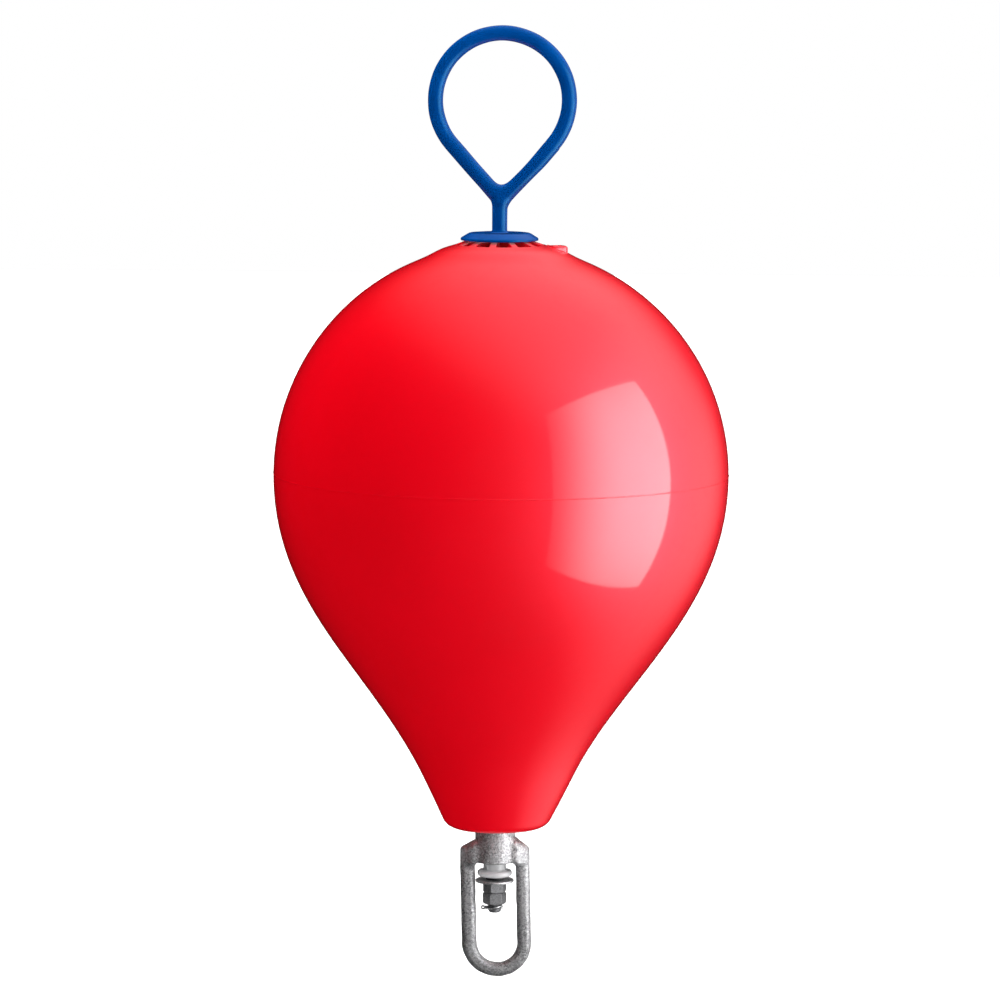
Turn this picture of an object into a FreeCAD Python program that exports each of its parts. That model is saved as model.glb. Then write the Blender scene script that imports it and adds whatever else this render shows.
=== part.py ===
import FreeCAD, Part
import math
import os
from FreeCAD import Vector

# Mooring buoy: an air-filled vinyl float on a galvanised through rod, with a coated lifting eye
# on top and a forged bow below that turns on a plastic bushing.
# Millimetres, +Z up. The origin is on the axis, in the plane of the float's parting line, which
# is the waterline of the working buoy. The eye and the bow both lie in the XZ plane.

# ---- Float ----
widest_radius = 260.0           # the float at its widest circle
widest_height = -2.0            # height of that circle
crown_arc_radius = 264.0        # outline above the widest circle
crown_edge_radius = 95.0        # here the round outline runs on as a straight cone
hub_seat_radius = 37.4          # flat top of the crown, where the eye's flange sits
float_depth = 409.3             # from the waterline down to the flat base
shoulder_pull = 150.5           # how far the lower outline holds to the vertical
neck_length = 60.0              # straight cone above the base
neck_radius = 87.2              # top of that cone
neck_pull = 133.5               # how far the outline above holds to the cone's slope
base_radius = 58.0              # foot of the cone, as if its corner were sharp
base_corner_radius = 16.0
wall = 4.5                      # vinyl skin
end_thickness = 6.0             # vinyl behind the pockets at both ends
tube_wall = 5.0                 # moulded tube round the rod
seam_width = 1.2                # parting line, a fine raised bead
seam_height = 0.4

# ---- Pockets between the ribs at both ends of the float ----
rib_count = 12
rib_width = 8.0
rib_turn = 20.0                 # degrees from the front to the first rib, towards +X
hub_ring_width = 7.5            # solid ring between the tube and the pockets
crown_pocket_reach = 6.4        # pockets show this far outside the flange
crown_pocket_depth = 15.0
base_rim_width = 19.0           # solid rim outside the lower pockets
base_pocket_depth = 9.0

# ---- Inflation valve ----
valve_distance = 66.0           # from the axis
valve_turn = 86.0               # degrees from the front, towards +X
valve_boss_radius = 12.0
valve_boss_rise = 6.5           # its flat top above the crown, at its centre
valve_boss_root = 9.0           # how far it reaches into the crown
valve_edge_radius = 2.0
plug_radius = 5.5
plug_depth = 5.0
plug_recess = 0.6               # plug below the boss's top
plug_slot_width = 1.4
plug_slot_depth = 1.6
plug_clearance = 0.15

# ---- Rod, nuts and cotter pin ----
rod_radius = 7.95
rod_tube_clearance = 1.5        # rod in the float's tube
rod_tip_chamfer = 2.2
thread_clearance = 0.1          # rod in the nuts
washer_clearance = 0.4          # rod in the washers and the bushing
nut_across_flats = 23.8
upper_nut_height = 12.2
lower_nut_height = 13.6
upper_nut_turn = 12.0           # degrees
lower_nut_turn = 6.0
nut_chamfer = 1.9
nut_chamfer_angle = 35.0
pin_offset = 4.7                # cotter pin below the lower nut
pin_radius = 1.5
pin_hole_clearance = 0.2
pin_tip_below = 5.3             # rod below the cotter pin's centre
pin_eye_radius = 1.9
pin_eye_wire = 0.8
pin_eye_gap = 5.0               # from the rod to the eye's centre
pin_leg_radius = 0.95
pin_leg_clearance = 0.15        # from the rod to the legs bent round it
pin_front_leg = 140.0           # degrees round the rod, from +X
pin_back_leg = 60.0

# ---- Lifting eye and its flange ----
coating_thickness = 0.45        # dipped vinyl on the bar
eye_radius = 76.2               # ring, to the middle of the bar
stem_height = 36.7              # from the flange to where both legs meet
eye_rise = 113.3                # from there to the ring's centre
eye_lean = 1.6                  # the ring stands this far towards +X
weld_swell = 0.8                # weld proud of the bar
weld_rise = 9.0                 # weld above the meeting point
weld_drop = 4.0                 # and below it
foot_fillet = 4.0               # coated weld at the foot of the stem
flange_radius = 43.6
flange_top_radius = 33.0
flange_thickness = 8.3
flange_rim_height = 2.8
flange_rim_round = 1.2

# ---- Swivel ----
base_washer_radius = 30.0
base_washer_thickness = 3.0
boss_radius = 22.8
boss_height = 38.7
boss_edge_radius = 2.0
swivel_end_play = 0.3           # boss between base washer and bushing, at each end
swivel_clearance = 0.08         # boss on the bushing's sleeve
sleeve_wall = 2.65
bushing_ledge = 2.1             # neck wider than the sleeve, under the boss
bushing_neck_height = 9.3
bushing_flange_radius = 19.5
bushing_flange_height = 7.0
bushing_flange_round = 3.0
rubber_washer_width = 2.15      # from its hole to its rim
rubber_washer_thickness = 4.2
steel_washer_radius = 22.0
steel_washer_thickness = 2.7
steel_washer_round = 0.6
bow_washer_gap = 2.3            # between the washer's rim and the bow's legs
bow_bar = 15.6                  # thickness of the bow's bar both ways
bow_shoulder_drop = 10.5        # from the top of the boss to where the shoulders leave it
bow_corner_drop = 22.0          # from the top of the boss to the outer corners
bow_corner_radius = 3.5
bow_crotch_radius = 6.5
bow_reach = 75.6                # from the rod's end to the lowest point of the bow
bow_edge_radius = 7.0

# ---- Values that follow from those above ----
crown_offset = crown_edge_radius - widest_radius + crown_arc_radius
crown_edge_rise = math.sqrt(crown_arc_radius ** 2 - crown_offset ** 2)
crown_edge_height = widest_height + crown_edge_rise
crown_slope = crown_offset / crown_edge_rise
hub_height = crown_edge_height + (crown_edge_radius - hub_seat_radius) * crown_slope
base_height = -float_depth
neck_height = base_height + neck_length
tube_bore_radius = rod_radius + rod_tube_clearance
tube_outer_radius = tube_bore_radius + tube_wall
pocket_inner_radius = tube_outer_radius + hub_ring_width
valve_top = crown_edge_height + (crown_edge_radius - valve_distance) * crown_slope + valve_boss_rise
valve_x = valve_distance * math.sin(math.radians(valve_turn))
valve_y = -valve_distance * math.cos(math.radians(valve_turn))
coated_bar_radius = rod_radius + coating_thickness
flange_top = hub_height + flange_thickness
eye_root_height = flange_top + stem_height
rod_hole_radius = rod_radius + washer_clearance
sleeve_radius = rod_hole_radius + sleeve_wall
boss_top = base_height - base_washer_thickness - swivel_end_play
boss_bottom = boss_top - boss_height
neck_top = boss_bottom - swivel_end_play
bushing_flange_top = neck_top - bushing_neck_height
bushing_bottom = bushing_flange_top - bushing_flange_height
rubber_washer_bottom = bushing_bottom - rubber_washer_thickness
steel_washer_bottom = rubber_washer_bottom - steel_washer_thickness
upper_nut_bottom = steel_washer_bottom - upper_nut_height
lower_nut_bottom = upper_nut_bottom - lower_nut_height
pin_height = lower_nut_bottom - pin_offset
rod_bottom = pin_height - pin_tip_below
bow_bottom = rod_bottom - bow_reach


def at(radius, height):
    """Point of a turned outline, in the XZ plane."""
    return Vector(radius, 0, height)


def unit(radial, axial):
    return Vector(radial, 0, axial).normalize()


def line(start, end):
    return Part.LineSegment(start, end).toShape()


def arc(centre, start, end):
    """Arc of less than half a turn about centre, from start to end."""
    radius = (start - centre).Length
    middle = centre + ((start - centre) + (end - centre)).normalize() * radius
    return Part.Arc(start, middle, end).toShape()


def rounded_edges(corners, closed=True):
    """Edges through corners given as (radius, height) or (radius, height, rounding)."""
    points = [at(corner[0], corner[1]) for corner in corners]
    roundings = [corner[2] if len(corner) > 2 else 0.0 for corner in corners]
    count = len(points)
    entries = []
    exits = []
    arcs = []
    for index, point in enumerate(points):
        rounding = roundings[index]
        if rounding == 0.0:
            entries.append(point)
            exits.append(point)
            arcs.append(None)
            continue
        back = (points[index - 1] - point).normalize()
        ahead = (points[(index + 1) % count] - point).normalize()
        half = back.getAngle(ahead) / 2
        setback = rounding / math.tan(half)
        entry = point + back * setback
        leave = point + ahead * setback
        centre = point + (back + ahead).normalize() * (rounding / math.sin(half))
        entries.append(entry)
        exits.append(leave)
        arcs.append(arc(centre, entry, leave))
    edges = []
    last = count if closed else count - 1
    for index in range(count):
        if arcs[index] is not None:
            edges.append(arcs[index])
        if index < last:
            edges.append(line(exits[index], entries[(index + 1) % count]))
    return edges


def turned(edges):
    """Solid turned about the Z axis from the closed outline in edges."""
    face = Part.Face(Part.Wire(edges))
    return face.revolve(Vector(0, 0, 0), Vector(0, 0, 1), 360)


def turned_corners(corners):
    return turned(rounded_edges(corners))


def upright_cylinder(radius, bottom, top, x=0.0, y=0.0):
    return Part.makeCylinder(radius, top - bottom, Vector(x, y, bottom))


def rod_between(radius, start, end):
    return Part.makeCylinder(radius, (end - start).Length, start, end - start)


def slab(edges, thickness):
    """The closed outline in edges, drawn in the XZ plane, made thick about that plane."""
    face = Part.Face(Part.Wire(edges))
    face.translate(Vector(0, -thickness / 2, 0))
    return face.extrude(Vector(0, thickness, 0))


def washer(outer, inner, bottom, top, rounding=0.0):
    return turned_corners([
        (inner, bottom),
        (outer, bottom, rounding),
        (outer, top, rounding),
        (inner, top),
    ])


# ---- Float ----
def side_edges(inset, top, bottom):
    """The float's outline moved inwards by inset, from the point top to the height bottom."""
    centre = at(widest_radius - crown_arc_radius, widest_height)
    down = unit(base_radius - neck_radius, -neck_length)
    outwards = at(-down.z, down.x)
    widest = at(widest_radius - inset, widest_height)
    neck = at(neck_radius, neck_height) - outwards * inset
    lower = Part.BezierCurve()
    lower.setPoles([widest, widest - at(0, shoulder_pull), neck - down * neck_pull, neck])
    foot = neck + down * ((bottom - neck.z) / down.z)
    return [arc(centre, top, widest), lower.toShape(), line(neck, foot)], foot


def float_body():
    sides, foot = side_edges(0.0, at(crown_edge_radius, crown_edge_height), base_height)
    ends = rounded_edges([
        (neck_radius, neck_height),
        (foot.x, foot.z, base_corner_radius),
        (tube_bore_radius, base_height),
        (tube_bore_radius, hub_height),
        (hub_seat_radius, hub_height),
        (crown_edge_radius, crown_edge_height),
    ], closed=False)
    return turned(sides[:2] + ends)


def float_cavity():
    top = hub_height - crown_pocket_depth - end_thickness
    bottom = base_height + base_pocket_depth + end_thickness
    reach = math.sqrt((crown_arc_radius - wall) ** 2 - (top - widest_height) ** 2)
    start = at(widest_radius - crown_arc_radius + reach, top)
    sides, foot = side_edges(wall, start, bottom)
    tube_foot = at(tube_outer_radius, bottom)
    tube_head = at(tube_outer_radius, top)
    return turned(sides + [line(foot, tube_foot), line(tube_foot, tube_head),
                           line(tube_head, start)])


def pockets(outer_radius, bottom, top):
    """Ring of pockets between radial ribs."""
    ring = washer(outer_radius, pocket_inner_radius, bottom, top)
    ribs = []
    for index in range(rib_count // 2):
        rib = Part.makeBox(2 * outer_radius + rib_width, rib_width, top - bottom,
                           Vector(-outer_radius - rib_width / 2, -rib_width / 2, bottom))
        rib.rotate(Vector(0, 0, 0), Vector(0, 0, 1), rib_turn - 90 + index * 360.0 / rib_count)
        ribs.append(rib)
    return ring.cut(ribs)


def buoy_float():
    seam = washer(widest_radius + seam_height, widest_radius - wall / 2,
                  -seam_width / 2, seam_width / 2)
    valve_boss = washer(valve_boss_radius, 0, valve_top - valve_boss_rise - valve_boss_root,
                        valve_top, valve_edge_radius)
    valve_boss.translate(Vector(valve_x, valve_y, 0))
    valve_socket = upright_cylinder(plug_radius + plug_clearance,
                                    valve_top - plug_recess - plug_depth, valve_top,
                                    valve_x, valve_y)
    crown_pockets = pockets(flange_radius + crown_pocket_reach,
                            hub_height - crown_pocket_depth, hub_height)
    base_pockets = pockets(base_radius - base_rim_width,
                           base_height, base_height + base_pocket_depth)
    body = float_body().fuse([seam, valve_boss]).removeSplitter()
    return body.cut([float_cavity(), valve_socket, crown_pockets, base_pockets])


def valve_plug():
    top = valve_top - plug_recess
    plug = upright_cylinder(plug_radius, top - plug_depth, top, valve_x, valve_y)
    slot = Part.makeBox(2 * plug_radius, plug_slot_width, plug_slot_depth,
                        Vector(valve_x - plug_radius, valve_y - plug_slot_width / 2,
                               top - plug_slot_depth))
    return plug.cut(slot)


# ---- Lifting eye ----
def lifting_eye():
    """Ring and two straight legs that meet in a weld on top of the stem."""
    root = Vector(0, 0, eye_root_height)
    centre = Vector(eye_lean, 0, eye_root_height + eye_rise)
    spread = math.asin(eye_radius / (centre - root).Length)
    leg_length = math.sqrt((centre - root).Length ** 2 - eye_radius ** 2)
    upwards = math.atan2(centre.z - root.z, centre.x - root.x)
    legs = []
    for side in (-1, 1):
        angle = upwards + side * spread
        direction = Vector(math.cos(angle), 0, math.sin(angle))
        legs.append(rod_between(coated_bar_radius, root, root + direction * leg_length))
    right_angle = upwards - spread
    start = root + Vector(math.cos(right_angle), 0, math.sin(right_angle)) * leg_length
    section = Part.Face(Part.Wire(Part.makeCircle(
        coated_bar_radius, start, Vector(math.cos(right_angle), 0, math.sin(right_angle)))))
    ring_turn = 180.0 + 2 * math.degrees(spread)
    ring = section.revolve(centre, Vector(0, -1, 0), ring_turn)
    return legs[0].fuse([legs[1], ring, stem()] + weld_pieces()).removeSplitter()


def weld_pieces():
    """Round-ended weld that fills the corners between the legs and the stem."""
    radius = coated_bar_radius + weld_swell
    bottom = eye_root_height - weld_drop
    top = eye_root_height + weld_rise
    return [upright_cylinder(radius, bottom, top),
            Part.makeSphere(radius, Vector(0, 0, bottom)),
            Part.makeSphere(radius, Vector(0, 0, top))]


def stem():
    foot_centre = at(coated_bar_radius + foot_fillet, flange_top + foot_fillet)
    foot_edge = at(coated_bar_radius + foot_fillet, flange_top)
    neck = at(coated_bar_radius, flange_top + foot_fillet)
    return turned([
        line(at(0, flange_top), foot_edge),
        arc(foot_centre, foot_edge, neck),
        line(neck, at(coated_bar_radius, eye_root_height)),
        line(at(coated_bar_radius, eye_root_height), at(0, eye_root_height)),
        line(at(0, eye_root_height), at(0, flange_top)),
    ])


def eye_flange():
    return turned_corners([
        (0, hub_height),
        (flange_radius, hub_height, flange_rim_round),
        (flange_radius, hub_height + flange_rim_height, flange_rim_round),
        (flange_top_radius, flange_top, flange_rim_round),
        (0, flange_top),
    ])


# ---- Rod, nuts and pin ----
def centre_rod():
    rod = turned_corners([
        (0, rod_bottom),
        (rod_radius - rod_tip_chamfer, rod_bottom),
        (rod_radius, rod_bottom + rod_tip_chamfer),
        (rod_radius, hub_height),
        (0, hub_height),
    ])
    reach = rod_radius + 1
    hole = rod_between(pin_radius + pin_hole_clearance,
                       Vector(-reach, 0, pin_height), Vector(reach, 0, pin_height))
    return rod.cut(hole)


def hex_nut(bottom, height, turn, chamfer_top):
    """Hexagon prism with its corners turned off below, and above where it shows."""
    corner_radius = nut_across_flats / math.sqrt(3)
    bore_radius = rod_radius + thread_clearance
    corners = [Vector(corner_radius * math.cos(math.radians(60 * step + turn)),
                      corner_radius * math.sin(math.radians(60 * step + turn)), bottom)
               for step in range(7)]
    prism = Part.Face(Part.makePolygon(corners)).extrude(Vector(0, 0, height))
    drop = nut_chamfer * math.tan(math.radians(nut_chamfer_angle))
    envelope = [
        (bore_radius, bottom),
        (corner_radius - nut_chamfer, bottom),
        (corner_radius, bottom + drop),
    ]
    if chamfer_top:
        envelope += [
            (corner_radius, bottom + height - drop),
            (corner_radius - nut_chamfer, bottom + height),
        ]
    else:
        envelope.append((corner_radius, bottom + height))
    envelope.append((bore_radius, bottom + height))
    return prism.common(turned_corners(envelope))


def cotter_pin():
    """Split pin with its eye towards -X and its legs bent round the rod, in front and behind."""
    eye_x = -rod_radius - pin_eye_gap
    leg_x = rod_radius + pin_leg_clearance + pin_leg_radius
    shank = rod_between(pin_radius, Vector(eye_x + pin_eye_radius, 0, pin_height),
                        Vector(leg_x, 0, pin_height))
    eye = Part.makeTorus(pin_eye_radius, pin_eye_wire, Vector(eye_x, 0, pin_height),
                         Vector(0, 1, 0))
    legs = []
    for side, turn in ((-1, pin_front_leg), (1, pin_back_leg)):
        section = Part.Face(Part.Wire(Part.makeCircle(
            pin_leg_radius, Vector(leg_x, 0, pin_height), Vector(0, 1, 0))))
        legs.append(section.revolve(Vector(0, 0, pin_height), Vector(0, 0, side), turn))
    return shank.fuse([eye] + legs).removeSplitter()


# ---- Swivel ----
def swivel_bow():
    """Forged boss and stirrup-shaped bar in one piece."""
    inner = steel_washer_radius + bow_washer_gap
    outer = inner + bow_bar
    shoulder = boss_top - bow_shoulder_drop
    corner = boss_top - bow_corner_drop
    bend = bow_bottom + outer
    outside = rounded_edges([
        (-outer, bend),
        (-outer, corner, bow_corner_radius),
        (-boss_radius, shoulder, bow_corner_radius),
        (boss_radius, shoulder, bow_corner_radius),
        (outer, corner, bow_corner_radius),
        (outer, bend),
    ], closed=False)
    outside.append(Part.Arc(at(outer, bend), at(0, bow_bottom), at(-outer, bend)).toShape())
    window = rounded_edges([
        (-inner, bend),
        (-inner, boss_bottom, bow_crotch_radius),
        (inner, boss_bottom, bow_crotch_radius),
        (inner, bend),
    ], closed=False)
    window.append(Part.Arc(at(inner, bend), at(0, bend - inner), at(-inner, bend)).toShape())
    bar = slab(outside, bow_bar).cut(slab(window, bow_bar))
    rims = [edge for edge in bar.Edges if edge.BoundBox.YLength < 0.01]
    bar = bar.makeFillet(bow_edge_radius, rims)
    boss = washer(boss_radius, sleeve_radius / 2, boss_bottom, boss_top, boss_edge_radius)
    bore = upright_cylinder(sleeve_radius + swivel_clearance, boss_bottom - 1, boss_top + 1)
    return bar.fuse(boss).cut(bore).removeSplitter()


def swivel_bushing():
    """Sleeve inside the boss, a wider neck that carries it, and a round-edged flange."""
    return turned_corners([
        (rod_hole_radius, bushing_bottom),
        (bushing_flange_radius, bushing_bottom, bushing_flange_round),
        (bushing_flange_radius, bushing_flange_top, bushing_flange_round),
        (sleeve_radius + bushing_ledge, bushing_flange_top),
        (sleeve_radius + bushing_ledge, neck_top),
        (sleeve_radius, neck_top),
        (sleeve_radius, base_height - base_washer_thickness),
        (rod_hole_radius, base_height - base_washer_thickness),
    ])


def base_washer():
    return washer(base_washer_radius, rod_hole_radius,
                  base_height - base_washer_thickness, base_height, steel_washer_round)


def rubber_washer():
    return washer(rod_hole_radius + rubber_washer_width, rod_hole_radius,
                  rubber_washer_bottom, bushing_bottom)


def steel_washer():
    return washer(steel_washer_radius, rod_hole_radius,
                  steel_washer_bottom, rubber_washer_bottom, steel_washer_round)


def main():
    os.makedirs("parts", exist_ok=True)
    nodes = {
        "buoy_float": buoy_float(),
        "valve_plug": valve_plug(),
        "lifting_eye": lifting_eye(),
        "eye_flange": eye_flange(),
        "centre_rod": centre_rod(),
        "base_washer": base_washer(),
        "swivel_bow": swivel_bow(),
        "swivel_bushing": swivel_bushing(),
        "rubber_washer": rubber_washer(),
        "steel_washer": steel_washer(),
        "upper_nut": hex_nut(upper_nut_bottom, upper_nut_height, upper_nut_turn, False),
        "lower_nut": hex_nut(lower_nut_bottom, lower_nut_height, lower_nut_turn, True),
        "cotter_pin": cotter_pin(),
    }
    for name, shape in nodes.items():
        shape.exportStep("parts/" + name + ".step")
        print(name, "solids", len(shape.Solids), "volume", round(shape.Volume / 1000, 2), "cm3",
              "valid", shape.isValid())


main()
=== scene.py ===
from math import acos, asin, atan2, ceil, cos, exp, hypot, pi, radians, sin, sqrt, tan
import bmesh
import bpy
import numpy as np
from mathutils import Matrix, Vector


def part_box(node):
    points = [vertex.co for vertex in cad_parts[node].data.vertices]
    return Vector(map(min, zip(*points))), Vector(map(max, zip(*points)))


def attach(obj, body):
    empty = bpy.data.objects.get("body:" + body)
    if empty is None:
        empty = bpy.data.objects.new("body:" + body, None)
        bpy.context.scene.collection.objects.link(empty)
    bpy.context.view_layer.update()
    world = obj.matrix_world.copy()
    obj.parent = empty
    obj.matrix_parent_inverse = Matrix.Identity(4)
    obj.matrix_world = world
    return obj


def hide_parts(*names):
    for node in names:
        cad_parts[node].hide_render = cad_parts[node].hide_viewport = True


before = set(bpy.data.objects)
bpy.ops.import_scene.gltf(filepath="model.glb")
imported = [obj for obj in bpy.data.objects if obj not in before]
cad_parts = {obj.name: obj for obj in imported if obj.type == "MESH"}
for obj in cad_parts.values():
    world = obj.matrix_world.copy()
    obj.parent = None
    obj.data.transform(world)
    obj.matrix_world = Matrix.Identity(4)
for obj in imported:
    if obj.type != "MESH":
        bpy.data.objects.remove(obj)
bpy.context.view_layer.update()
scene = bpy.context.scene
mm = 0.001
fullTurn = 2 * pi


def operator(operation, flipped=False):
    return lambda wire, other: wire.maths(operation, other, flipped)


# one socket of a node tree, whose sums add their own nodes
class Wire:
    def __init__(self, tree, socket=None):
        self.tree = tree
        self.socket = socket

    # settings are set first, then values or links go to the sockets
    def node(self, kind, settings=None, values=None, output=0):
        made = self.tree.nodes.new(kind)
        for name, value in (settings or {}).items():
            setattr(made, name, value)
        for name, value in (values or {}).items():
            connect(self.tree, made.inputs[name], value)
        return Wire(self.tree, made.outputs[output] if made.outputs else None)

    def maths(self, operation, other=None, flipped=False):
        pair = (other, self) if flipped else (self, other)
        isVector = any(isinstance(part, Wire) and part.socket.type in ("VECTOR", "RGBA")
                       for part in pair)
        values = {place: part for place, part in enumerate(pair) if part is not None}
        kind = "ShaderNodeVectorMath" if isVector else "ShaderNodeMath"
        return self.node(kind, {"operation": operation}, values)

    __add__ = __radd__ = operator("ADD")
    __sub__, __rsub__ = operator("SUBTRACT"), operator("SUBTRACT", True)
    __mul__ = __rmul__ = operator("MULTIPLY")
    __truediv__, __rtruediv__ = operator("DIVIDE"), operator("DIVIDE", True)
    __pow__ = operator("POWER")

    # 0 below low, 1 above high, smooth between
    def rise(self, low, high, floor=0.0, ceiling=1.0):
        return self.node("ShaderNodeMapRange", {"interpolation_type": "SMOOTHSTEP"},
                         {0: self, 1: low, 2: high, 3: floor, 4: ceiling})

    # this mask picks between two colours
    def pick(self, first, second):
        return self.node("ShaderNodeMix", {"data_type": "RGBA"}, {0: self, 6: first, 7: second}, 2)

    def blend(self, first, second):
        return self.node("ShaderNodeMix", {"data_type": "FLOAT"}, {0: self, 2: first, 3: second})

    def noise(self, scale, detail, roughness=0.5, warp=0.0):
        return self.node("ShaderNodeTexNoise", values={
            "Vector": self, "Scale": scale, "Detail": detail, "Roughness": roughness,
            "Distortion": warp})

    # every cell has a random colour of its own
    def cells(self, scale):
        return self.node("ShaderNodeTexVoronoi", values={"Vector": self, "Scale": scale}, output=1)

    def vector(self, x=0.0, y=0.0, z=0.0):
        return self.node("ShaderNodeCombineXYZ", values={0: x, 1: y, 2: z})

    def parts(self):
        made = self.node("ShaderNodeSeparateXYZ", values={0: self})
        return [Wire(self.tree, socket) for socket in made.socket.node.outputs]

    def bump(self, height, distance):
        return self.node("ShaderNodeBump", values={"Height": height, "Distance": distance})


def connect(tree, socket, value):
    if isinstance(value, Wire):
        tree.links.new(value.socket, socket)
    elif socket.type == "RGBA":
        socket.default_value = (*value, 1.0)
    else:
        socket.default_value = value


# constants sit on the shader's own sockets; paint gives what changes over the surface
def finishOf(name, paint, constants=None):
    made = bpy.data.materials.new(name)
    made.use_nodes = True
    tree = made.node_tree
    shader = tree.nodes["Principled BSDF"]
    for socket, value in (constants or {}).items():
        connect(tree, shader.inputs[socket], value)
    place = Wire(tree).node("ShaderNodeTexCoord", output=3)
    for socket, value in paint(place).items():
        connect(tree, shader.inputs[socket], value)
    return made


# in every look, patches, smudges, waves, grain and marks are so many per metre
redVinylLook = {
    "colour": (0.80, 0.0, 0.007), "deeper": (0.76, 0.0, 0.006), "gloss": 0.46, "dull": 0.50,
    "patches": 5.0, "smudges": 38.0, "grain": 420.0, "waves": 60.0, "waveHeight": 2.0,
    "peel": 0.00002}


def paintRedVinyl(place):
    look = redVinylLook
    patches = place.noise(look["patches"], 3.0).rise(0.35, 0.65)
    smudges = place.noise(look["smudges"], 4.0, 0.6, 0.4).rise(0.45, 0.75)
    waves = place.noise(look["waves"], 1.0) * look["waveHeight"]
    peel = place.noise(look["grain"], 2.0) + waves
    return {"Base Color": patches.pick(look["colour"], look["deeper"]),
            "Roughness": smudges.blend(look["gloss"], look["dull"]),
            "Normal": place.bump(peel, look["peel"])}


blueCoatLook = {
    "colour": (0.0, 0.050, 0.24), "thin": (0.0, 0.060, 0.28), "gloss": 0.15, "dull": 0.22,
    "patches": 30.0, "smudges": 80.0, "waves": 45.0, "grain": 140.0, "grainHeight": 0.15,
    "ripple": 0.00006}


def paintBlueCoat(place):
    look = blueCoatLook
    patches = place.noise(look["patches"], 3.0).rise(0.35, 0.7)
    smudges = place.noise(look["smudges"], 3.0).rise(0.4, 0.7, look["gloss"], look["dull"])
    ripple = place.noise(look["waves"], 1.0) + place.noise(look["grain"], 0.0) * look["grainHeight"]
    return {"Base Color": patches.pick(look["colour"], look["thin"]),
            "Roughness": smudges,
            "Normal": place.bump(ripple, look["ripple"])}


# zinc: crystals, so many per metre, with specks, frost and dull patches
def zincPainter(look):
    def paint(place):
        size = look["crystals"]
        warped = place + place.noise(size * 0.7, 2.0) * (look["warp"] / size)
        tone = warped.cells(size).parts()[0]
        cloud = place.noise(size * 0.14, 4.0, 0.6).rise(0.4, 0.66)
        frost = place.noise(size * 1.9, 3.0, 0.7).rise(0.52, 0.66)
        pits = place.noise(size * 1.3, 4.0, 0.7).rise(0.56, 0.68)
        shade = tone.pick(look["dark"], look["bright"])
        shade = (cloud * look["dullness"]).pick(shade, look["patina"])
        shade = (frost * look["frosting"]).pick(shade, look["bright"])
        shade = (pits * look["speckle"]).pick(shade, look["pit"])
        # painted shade and light: darker towards the foot and lighter towards the head, by height
        shade = shade * place.parts()[2].rise(*look["paintedShade"])
        rough = tone.blend(look["smooth"], look["rough"]) + pits * look["pitRough"]
        height = tone * 0.5 + frost * 0.6 - pits
        return {"Base Color": shade, "Roughness": rough,
                "Metallic": cloud.blend(look["metal"], look["metal"] * look["dullMetal"]),
                "Normal": place.bump(height, look["relief"])}
    return paint


# painted shade by height runs from one height to another, in metres, and from one brightness to
# another
forgedZincLook = {
    "crystals": 620.0, "warp": 1.2, "bright": (0.68, 0.68, 0.69), "dark": (0.19, 0.19, 0.20),
    "patina": (0.31, 0.31, 0.32), "pit": (0.09, 0.09, 0.10), "pitRough": 0.15, "smooth": 0.32,
    "rough": 0.48, "metal": 0.86, "dullMetal": 0.7, "dullness": 0.45, "frosting": 0.7,
    "speckle": 0.85, "relief": 0.00030, "paintedShade": (-0.565, -0.43, 0.70, 1.08)}
nutZincLook = dict(
    forgedZincLook, crystals=800.0, bright=(0.30, 0.30, 0.31), dark=(0.14, 0.14, 0.145),
    patina=(0.20, 0.20, 0.205), smooth=0.34, rough=0.50, metal=0.82, relief=0.00010,
    paintedShade=(-1.0, 0.0, 1.0, 1.0))
plateZincLook = dict(
    nutZincLook, crystals=700.0, bright=(0.66, 0.66, 0.67), dark=(0.26, 0.26, 0.27), smooth=0.28,
    rough=0.44, relief=0.00008)
brightZincLook = dict(
    nutZincLook, crystals=900.0, bright=(0.80, 0.80, 0.81), dark=(0.50, 0.50, 0.51), smooth=0.22,
    rough=0.34, speckle=0.3, relief=0.00003)

# the tool's rings are so many radians per metre
nylonLook = {
    "colour": (0.52, 0.52, 0.53), "stain": (0.42, 0.42, 0.42), "gloss": 0.38, "dull": 0.5,
    "marks": 120.0, "grain": 500.0, "rings": 9000.0, "ringHeight": 0.3, "tool": 0.00002}


def paintNylon(place):
    look = nylonLook
    rings = (place.parts()[2] * look["rings"]).maths("SINE") * look["ringHeight"]
    marks = place.noise(look["marks"], 4.0, 0.6).rise(0.5, 0.75)
    return {"Base Color": marks.pick(look["colour"], look["stain"]),
            "Roughness": marks.blend(look["gloss"], look["dull"]),
            "Normal": place.bump(rings + place.noise(look["grain"], 3.0), look["tool"])}


rubberLook = {
    "colour": (0.012, 0.012, 0.013), "dust": (0.035, 0.034, 0.033), "gloss": 0.55, "dull": 0.8,
    "smudges": 220.0, "grain": 1500.0, "relief": 0.00005}


def paintRubber(place):
    look = rubberLook
    dust = place.noise(look["smudges"], 4.0).rise(0.5, 0.8)
    return {"Base Color": dust.pick(look["colour"], look["dust"]),
            "Roughness": dust.blend(look["gloss"], look["dull"]),
            "Normal": place.bump(place.noise(look["grain"], 3.0, 0.6), look["relief"])}


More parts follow.
